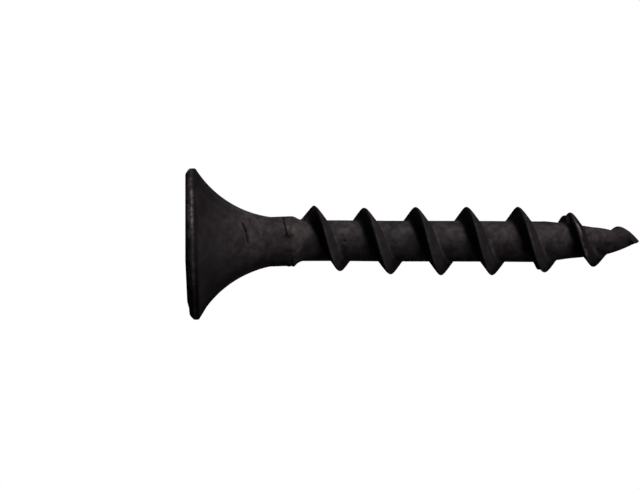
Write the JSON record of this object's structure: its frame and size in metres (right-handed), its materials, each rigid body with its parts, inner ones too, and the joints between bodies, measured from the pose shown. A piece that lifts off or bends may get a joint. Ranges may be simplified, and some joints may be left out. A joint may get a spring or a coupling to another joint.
{
  "type": "self-tapping screw",
  "caption": "Trumpet-headed self-tapping screw with a cross recess, a coarse right-hand thread and a sharp point.",
  "frame": {"origin": "centre of the flat face of the head, which the screw stands on", "axes": "+Z along the screw's axis from the head to the point, which is the way that it drives; the wings of the cross recess lie along X and Y"},
  "size_m": [0.0082, 0.0082, 0.025],
  "materials": {
    "black_phosphate": "dull black phosphate coating on steel, slightly worn on the edges"
  },
  "bodies": {
    "root": {"screw": "black_phosphate"}
  },
  "joints": []
}
